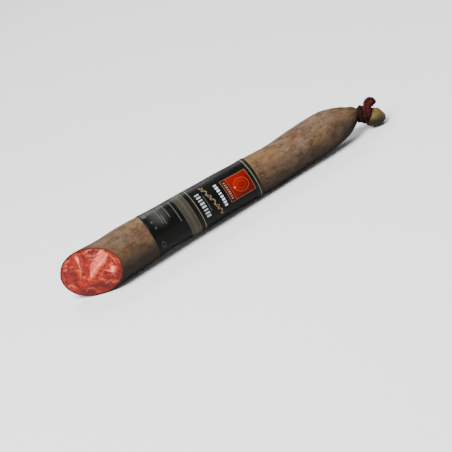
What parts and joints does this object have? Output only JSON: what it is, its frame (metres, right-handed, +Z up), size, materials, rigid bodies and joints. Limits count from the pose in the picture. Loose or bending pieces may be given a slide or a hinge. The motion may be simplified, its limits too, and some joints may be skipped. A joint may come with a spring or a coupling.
{
  "type": "cured sausage",
  "caption": "Dry-cured sausage, cut on the slant at one end and tied with dark red string at the other, in a black paper band.",
  "frame": {"origin": "middle of the sausage's box, on the surface it lies on", "axes": "+X along the sausage, from the cut end to the tied end; +Z up; the cut face looks toward -X and -Y"},
  "size_m": [0.396, 0.0542, 0.0541],
  "materials": {
    "casing_and_meat": "matte",
    "band_paper": "satin",
    "string": "matte"
  },
  "bodies": {
    "root": {"sausage": "casing_and_meat", "label": "band_paper", "string_tie": "string"}
  },
  "joints": []
}
